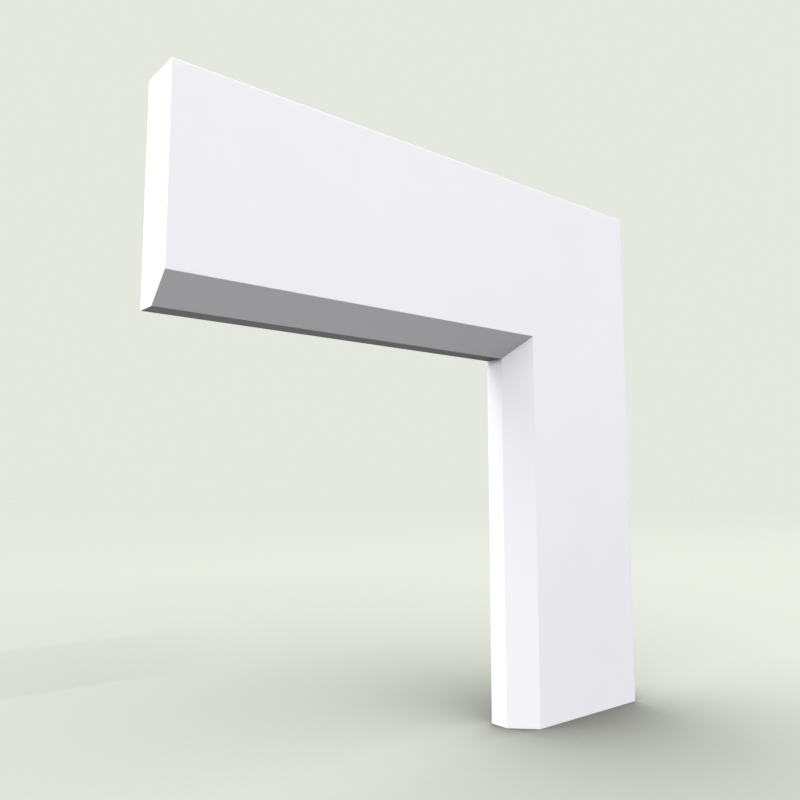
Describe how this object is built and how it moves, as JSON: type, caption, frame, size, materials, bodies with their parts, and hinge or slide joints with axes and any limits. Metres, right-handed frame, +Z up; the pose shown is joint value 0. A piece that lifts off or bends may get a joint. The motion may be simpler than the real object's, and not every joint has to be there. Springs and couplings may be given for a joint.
{
  "type": "door architrave corner",
  "caption": "Corner of a plain door architrave with a chamfered inner edge, mitred where the head piece meets the leg and cut square at both ends.",
  "frame": {"origin": "on the wall side, on the leg's centreline, level with the underside of the head", "axes": "+Y into the wall, +Z up, +X along the head towards the leg; the front face looks along -Y"},
  "size_m": [0.2275, 0.018, 0.2255],
  "materials": {
    "white_primer": "matte"
  },
  "bodies": {
    "root": {"architrave_head": "white_primer", "architrave_leg": "white_primer"}
  },
  "joints": []
}
